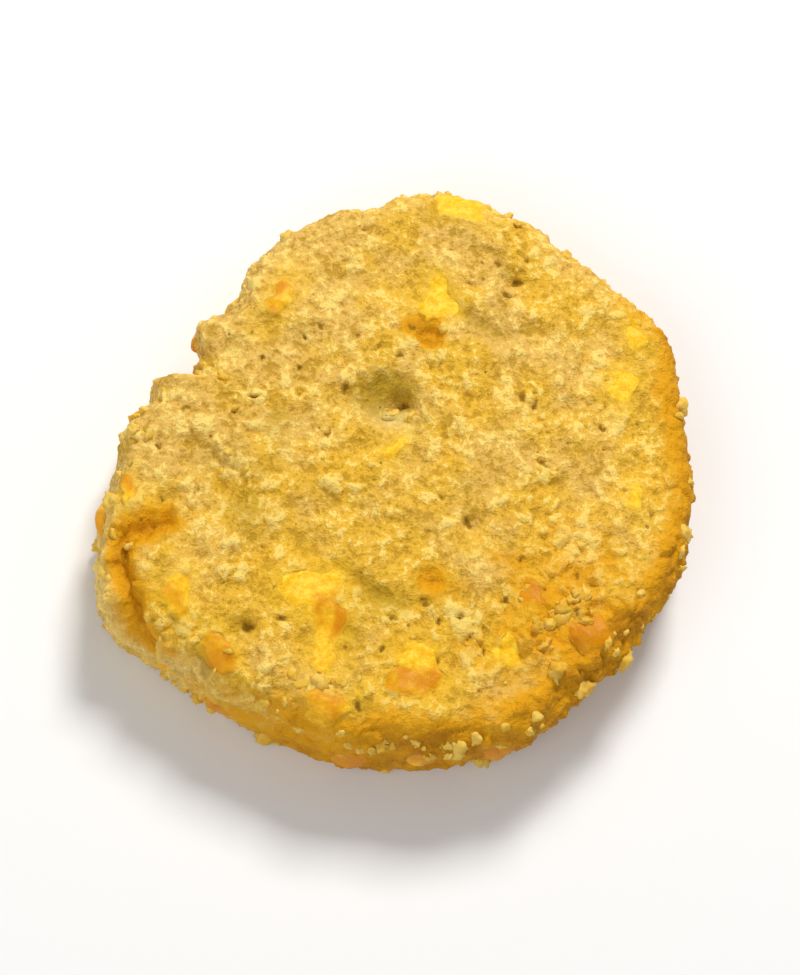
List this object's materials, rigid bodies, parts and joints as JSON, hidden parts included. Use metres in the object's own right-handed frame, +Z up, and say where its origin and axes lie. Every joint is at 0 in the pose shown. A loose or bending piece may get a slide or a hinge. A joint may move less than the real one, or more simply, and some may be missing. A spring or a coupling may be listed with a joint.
{
  "type": "cheese aperitif biscuit",
  "caption": "Round, thick, crumbly baked cheese biscuit with an uneven edge, a dimpled top, bits of melted cheese and a flat baked underside.",
  "frame": {"origin": "middle of the flat underside, which lies at z = 0", "axes": "+Z up out of the domed top face; -Y is the front of the biscuit as the picture shows it, +X is to its right"},
  "size_m": [0.0468, 0.0473, 0.0101],
  "materials": {
    "baked_dough": "dry golden-tan baked dough, sandy grain, with yellow and toasted orange bits of cheese"
  },
  "bodies": {
    "root": {"biscuit": "baked_dough"}
  },
  "joints": []
}
